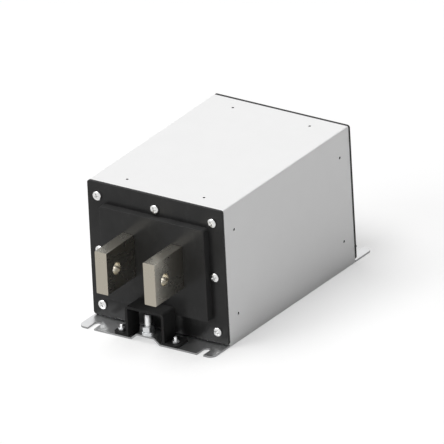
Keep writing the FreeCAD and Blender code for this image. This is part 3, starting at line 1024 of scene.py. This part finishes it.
@dataclass(frozen=True)
class PanScrew:
    """Pan-head screw with a cross recess, standing on the underside of its head.

    The dome's rings are shares of the head's radius. The recess's rings are shares of its mouth, each with
    its depth below the dome.
    """

    diameter: float = 6.0
    length: float = 12.0
    head_diameter: float = 10.6
    head_height: float = 3.1
    shoulder: float = 1.7
    crown_power: float = 2.5
    dome: tuple[float, ...] = (0.985, 0.95, 0.89, 0.81, 0.72)
    recess: tuple[Pair, ...] = ((1.06, 0.0), (0.97, 0.15), (0.62, 1.7), (0.15, 1.7))
    recess_reach: float = 3.1
    recess_half_width: float = 0.7
    edge: float = 0.25
    sides: int = 48

    def skin(self) -> Skin:
        """Build the screw with its head towards +Z.

        Returns:
            The skin.
        """
        radius, head = self.diameter / 2, self.head_diameter / 2
        rings = [ring(radius - self.edge, -self.length), ring(radius, self.edge - self.length),
                 ring(radius, 0), ring(head - self.edge, 0), ring(head, self.edge), ring(head, self.shoulder)]
        rings += [ring(head * share, self.crown(head * share)) for share in self.dome]
        rings += [self.recess_ring(share, depth) for share, depth in self.recess]
        return Skin.swept(rings, self.angles(), closed=False)

    def angles(self) -> list[float]:
        """Choose where the rings have their points.

        Returns:
            Even angles in radians, and the corners of the recess's arms.
        """
        corner = math.asin(self.recess_half_width / self.recess_reach)
        arms = [quarter * math.pi / 2 + side * corner for quarter in range(4) for side in (-1, 1)]
        return sorted({round(angle % math.tau, 6) for angle in even_angles(self.sides) + arms})

    def crown(self, radius: float) -> float:
        """Height of the domed head at a radius."""
        inward = 1 - (radius / (self.head_diameter / 2)) ** self.crown_power
        return self.shoulder + (self.head_height - self.shoulder) * math.sqrt(inward)

    def recess_mouth(self, angle: float) -> float:
        """Radius of the recess's mouth, which has four arms.

        Args:
            angle: Angle round the head in radians.

        Returns:
            The radius.
        """
        quarter = math.pi / 2
        off_arm = math.sin(abs((angle + quarter / 2) % quarter - quarter / 2))
        if off_arm * self.recess_reach <= self.recess_half_width:
            return self.recess_reach
        return self.recess_half_width / off_arm

    def recess_ring(self, share: float, depth: float) -> Ring:
        """Cross-shaped ring in the head.

        Args:
            share: Its size as a share of the recess's mouth.
            depth: Its depth below the dome.

        Returns:
            The ring.
        """
        def at(angle: float) -> Point:
            """Radius and height at an angle."""
            reach = share * self.recess_mouth(angle)
            return reach, self.crown(reach) - depth

        return at


# Finishes of this filter


COVER_PAINT = PowderCoat("cover_paint", (0.83, 0.83, 0.83), roughness=0.5)
BASE_PLATING = PlatedSheet("base_plating", (0.71, 0.715, 0.72), roughness=0.30)
FRAME_PLATING = PlatedSheet("frame_plating", (0.66, 0.67, 0.68), roughness=0.30)
PLATE_MOULDING = Moulding("plate_moulding", (0.023, 0.023, 0.023), roughness=0.25, slid_roughness=0.35,
                          shine=0.16)
TUNNEL_MOULDING = Moulding("tunnel_moulding", (0.022, 0.022, 0.022), roughness=0.40, shine=0.05)
SCREW_PLATING = BrightFastener("screw_plating", (0.72, 0.72, 0.715), roughness=0.20)
FASTENER_PLATING = BrightFastener("fastener_plating", (0.68, 0.69, 0.70), roughness=0.32)
# the fastener plating again, painted lighter on the studs to stand in for the light on their threads
THREAD_PLATING_PAINTED_LIGHT = BrightFastener("fastener_plating", (0.90, 0.90, 0.90), roughness=0.42, look="thread")
BAR_PLATING = TinnedBar("bar_plating", (0.54, 0.52, 0.46), roughness=0.27)


# Sub-assemblies


@dataclass
class Housing:
    """Painted cover, plated base with its flanges, and the frames inside both ends."""

    paint: Finish = COVER_PAINT
    base: Finish = BASE_PLATING
    frames: Finish = FRAME_PLATING

    def build(self) -> None:
        """Dress the sheet-metal pieces."""
        dress("housing_cover", self.paint)
        dress("base_plate", self.base)
        dress("front_end_frame", self.frames)
        dress("rear_end_frame", self.frames)


@dataclass
class TerminalPlates:
    """Black moulded plates at both ends and the screws that hold them."""

    moulding: Finish = PLATE_MOULDING
    plating: Finish = SCREW_PLATING
    screw: PanScrew = PanScrew()
    seed: int = 7

    def build(self) -> None:
        """Dress the plates and make their screws."""
        dress("front_terminal_plate", self.moulding)
        dress("rear_terminal_plate", self.moulding)
        make_piece("plate_screws", self.screw.skin(), at_both_ends(self.screw_places()), self.plating)

    def screw_places(self) -> list[Matrix]:
        """Places of the front plate's screws.

        Returns:
            One place for each screw, with its head towards the front and its recess turned at random.
        """
        heads = Extent.of("plate_screws")
        radius = self.screw.head_diameter / 2
        side = heads.high.x - radius
        low, high = heads.low.z + radius, heads.high.z - radius
        seat = heads.low.y + self.screw.head_height
        spots = [(x, z) for z in (low, (low + high) / 2, high) for x in (-side, side)] + [(0.0, high)]
        chance = random.Random(self.seed)
        forward = Matrix.Rotation(math.pi / 2, 4, "X")
        places = []
        for x, z in spots:
            turn = Matrix.Rotation(chance.uniform(0, math.tau), 4, "Z")
            places.append(Matrix.Translation((x, seat, z)) @ forward @ turn)
        return places


@dataclass
class ConductorBars:
    """The two tin-plated bars that run right through the filter."""

    plating: Finish = BAR_PLATING

    def build(self) -> None:
        """Dress both bars."""
        dress("left_busbar", self.plating)
        dress("right_busbar", self.plating)


@dataclass
class EarthTerminals:
    """Earth studs with their nuts and washers under moulded tunnels, and the tunnels' own studs and nuts."""

    moulding: Finish = TUNNEL_MOULDING
    plating: Finish = FASTENER_PLATING
    # studs: the fastener plating painted lighter, standing in for the light on their threads
    thread: Finish = THREAD_PLATING_PAINTED_LIGHT
    earth_stud: Stud = Stud(Thread(diameter=8.0, pitch=1.25), length=25.0, head_diameter=12.0,
                            head_height=1.4, chamfer=0.8, plain_length=2.4)
    earth_nut: HexNut = HexNut(across_flats=13.0, bore=8.2, height=6.5)
    earth_nut_turn: float = 12.0
    washer: Washer = Washer(outer=15.0, hole=8.4, thickness=1.6)
    spring_washer: SpringWasher = SpringWasher(outer=14.8, hole=8.4, thickness=2.0)
    split_turn: float = -130.0
    cover_stud: Stud = Stud(Thread(diameter=4.0, pitch=0.7), length=12.0, head_diameter=7.0,
                            head_height=1.2, chamfer=0.5, plain_length=2.4)
    cover_nut: HexNut = HexNut(across_flats=7.0, bore=4.2, height=3.2)
    cover_nut_turn: float = 20.0

    def build(self) -> None:
        """Dress the tunnels and make the fasteners."""
        dress("front_earth_cover", self.moulding)
        dress("rear_earth_cover", self.moulding)
        row = Extent.of("earth_studs").low.y + self.earth_stud.head_diameter / 2
        side = Extent.of("cover_studs").high.x - self.cover_stud.head_diameter / 2
        middle, feet = [(0.0, row)], [(-side, row), (side, row)]
        self.place_at("earth_studs", self.earth_stud.skin(), middle, self.thread)
        self.place_at("earth_washers", self.washer.skin(), middle, self.plating)
        self.place_at("earth_lock_washers", self.spring_washer.skin(), middle, self.plating, self.split_turn)
        self.place_at("earth_nuts", self.earth_nut.skin(), middle, self.plating, self.earth_nut_turn)
        self.place_at("cover_studs", self.cover_stud.skin(), feet, self.thread)
        self.place_at("cover_nuts", self.cover_nut.skin(), feet, self.plating, self.cover_nut_turn)

    def place_at(self, node: str, skin: Skin, spots: Sequence[Point], finish: Finish,
                 turn: float = 0.0) -> None:
        """Make a fastener's piece at the front spots and at the same spots of the rear.

        Args:
            node: The CAD node, whose lowest height is the fastener's foot.
            skin: The fastener on its foot.
            spots: The (x, y) spots at the front.
            finish: The fastener's finish.
            turn: The fastener's turn about its own axis in degrees.
        """
        foot = Extent.of(node).low.z
        places = [moved(x, y, foot, math.radians(turn)) for x, y in spots]
        make_piece(node, skin, at_both_ends(places), finish)


@dataclass
class FilterInsides:
    """Chokes, boards and what stands on them inside the housing."""

    core: Finish = EpoxyCoat("core_coating", (0.16, 0.22, 0.30), roughness=0.38)
    former: Finish = Moulding("former_moulding", (0.72, 0.70, 0.64), roughness=0.42, shades=(0.95, 1.05),
                              flow_grain=(8.0, 30.0, 8.0))
    cradle: Finish = Moulding("cradle_moulding", (0.05, 0.05, 0.05), roughness=0.5, skin_grain=0.8,
                              skin_depth=0.01)
    laminate: Finish = Laminate("board_laminate", (0.05, 0.20, 0.09), roughness=0.35)
    line_case: Finish = Moulding("line_capacitor_case", (0.70, 0.70, 0.68), roughness=0.28,
                                 shades=(0.97, 1.03))
    earth_case: Finish = Moulding("earth_capacitor_case", (0.12, 0.26, 0.48), roughness=0.28,
                                  shades=(0.95, 1.05))
    copper: Finish = BareCopper("strap_copper", (0.80, 0.45, 0.30), roughness=0.25)
    post: Finish = Moulding("post_moulding", (0.85, 0.84, 0.80), roughness=0.45, shades=(0.97, 1.03),
                            flow_grain=(4.0, 4.0, 8.0))
    resistor: Finish = CementCoat("resistor_coating", (0.33, 0.42, 0.36), roughness=0.85)
    plating: Finish = FASTENER_PLATING

    def build(self) -> None:
        """Dress every inner piece."""
        finishes = {
            "front_choke_core": self.core, "middle_choke_core": self.core, "rear_choke_core": self.core,
            "core_former": self.former, "core_cradle": self.cradle, "cradle_screws": self.plating,
            "front_filter_board": self.laminate, "rear_filter_board": self.laminate,
            "front_line_capacitor": self.line_case, "rear_line_capacitor": self.line_case,
            "earth_capacitors": self.earth_case, "bar_straps": self.copper, "strap_screws": self.plating,
            "board_posts": self.post, "discharge_resistor": self.resistor,
        }
        for node, finish in finishes.items():
            dress(node, finish)


# Studio


@dataclass(frozen=True)
class Lamp:
    """A round soft lamp far away, given by where it stands as seen from the filter."""

    name: str
    azimuth: float
    elevation: float
    spread: float
    strength: float

    def build(self) -> None:
        """Hang the lamp."""
        data = bpy.data.lights.new(self.name, "SUN")
        data.angle = math.radians(self.spread)
        data.energy = self.strength
        lamp = put_in_scene(self.name, data)
        lamp.rotation_mode = "QUATERNION"
        lamp.rotation_quaternion = direction(self.azimuth, self.elevation).to_track_quat("Z", "Y")


def direction(azimuth: float, elevation: float) -> Vector:
    """Way from the filter to a watcher.

    Args:
        azimuth: Degrees round from the front towards the right.
        elevation: Degrees above the horizon.

    Returns:
        A unit vector.
    """
    bearing, climb = math.radians(azimuth), math.radians(elevation)
    level = math.cos(climb)
    return Vector((math.sin(bearing) * level, -math.cos(bearing) * level, math.sin(climb)))


@dataclass
class Studio:
    """White floor, pale surroundings, soft lamps and the camera, whose sizes are in metres."""

    floor_size: float = 8.0
    floor_gap: float = 0.0003
    floor_colour: Colour = (0.98, 0.98, 0.98)
    floor_glow: float = 0.46
    ambient: float = 0.12
    lamps: tuple[Lamp, ...] = (
        Lamp("overhead_softbox", azimuth=-68.0, elevation=73.0, spread=44.0, strength=2.63),
        Lamp("front_softbox", azimuth=-35.0, elevation=25.0, spread=30.0, strength=0.85),
    )
    azimuth: float = 35.0
    elevation: float = 25.0
    roll: float = 3.0
    picture_width: float = 0.4802
    aim: tuple[float, float, float] = (0.0, -0.125, 0.0)
    aim_right: float = 0.0655
    aim_up: float = 0.1189
    distance: float = 2.0

    def build(self) -> None:
        """Build the whole studio."""
        bpy.context.scene.view_settings.view_transform = "Standard"
        self.build_world()
        self.build_floor()
        for lamp in self.lamps:
            lamp.build()
        self.build_camera()

    def seen(self, graph: Graph) -> Value:
        """1 for rays that show the background: from the camera, off gloss and through glass."""
        rays = [graph.node("ShaderNodeLightPath", output=name)
                for name in ("Is Camera Ray", "Is Glossy Ray", "Is Transmission Ray")]
        return rays[0].larger(rays[1]).larger(rays[2])

    def build_world(self) -> None:
        """Pale surroundings, white where they are seen."""
        world = bpy.data.worlds.new("studio_surroundings")
        world.use_nodes = True
        bpy.context.scene.world = world
        graph = Graph(world.node_tree)
        white = (1.0, 1.0, 1.0, 1.0)
        lighting = graph.node("ShaderNodeBackground", inputs={"Color": white, "Strength": self.ambient})
        backdrop = graph.node("ShaderNodeBackground", inputs={"Color": white, "Strength": 1.0})
        mixed = graph.node("ShaderNodeMixShader", inputs={0: self.seen(graph), 1: lighting, 2: backdrop})
        graph.node("ShaderNodeOutputWorld", inputs={"Surface": mixed})

    def build_floor(self) -> None:
        """Floor that keeps the shadow, with part of its brightness its own where it is seen."""
        half = self.floor_size / 2
        level = CAD_BOX[0].z - self.floor_gap
        mesh = bpy.data.meshes.new("studio_floor_mesh")
        corners = [(-half, -half, level), (half, -half, level), (half, half, level), (-half, half, level)]
        mesh.from_pydata(corners, [], [(0, 1, 2, 3)])
        material, graph = blank_material("studio_floor_paper")
        paper = graph.node("ShaderNodeBsdfDiffuse", inputs={"Color": (*self.floor_colour, 1.0)})
        glow = graph.node("ShaderNodeEmission", inputs={"Strength": 1.0})
        share = self.floor_glow * self.seen(graph)
        mixed = graph.node("ShaderNodeMixShader", inputs={0: share, 1: paper, 2: glow})
        graph.node("ShaderNodeOutputMaterial", inputs={"Surface": mixed})
        mesh.materials.append(material)
        put_in_scene("studio_floor", mesh)

    def build_camera(self) -> None:
        """Camera at the photograph's viewing angle, without perspective."""
        back = direction(self.azimuth, self.elevation)
        level_right = UP.cross(back).normalized()
        level_up = back.cross(level_right)
        tilt = math.radians(self.roll)
        right = math.cos(tilt) * level_right - math.sin(tilt) * level_up
        up = math.sin(tilt) * level_right + math.cos(tilt) * level_up
        data = bpy.data.cameras.new("studio_camera")
        data.type = "ORTHO"
        data.ortho_scale = self.picture_width
        camera = put_in_scene("studio_camera", data)
        axes = Matrix((right, up, back)).transposed().to_4x4()
        spot = Vector(self.aim) + self.aim_right * right + self.aim_up * up + self.distance * back
        camera.matrix_world = Matrix.Translation(spot) @ axes
        bpy.context.scene.camera = camera


def main() -> None:
    """Build the filter, one sub-assembly after another, and the studio round it."""
    logging.basicConfig(level=logging.INFO, format="%(name)s: %(message)s")
    assemblies = (Housing(), TerminalPlates(), ConductorBars(), EarthTerminals(), FilterInsides(), Studio())
    for assembly in assemblies:
        log.info("building %s", type(assembly).__name__)
        assembly.build()


if __name__ == "__main__":
    main()
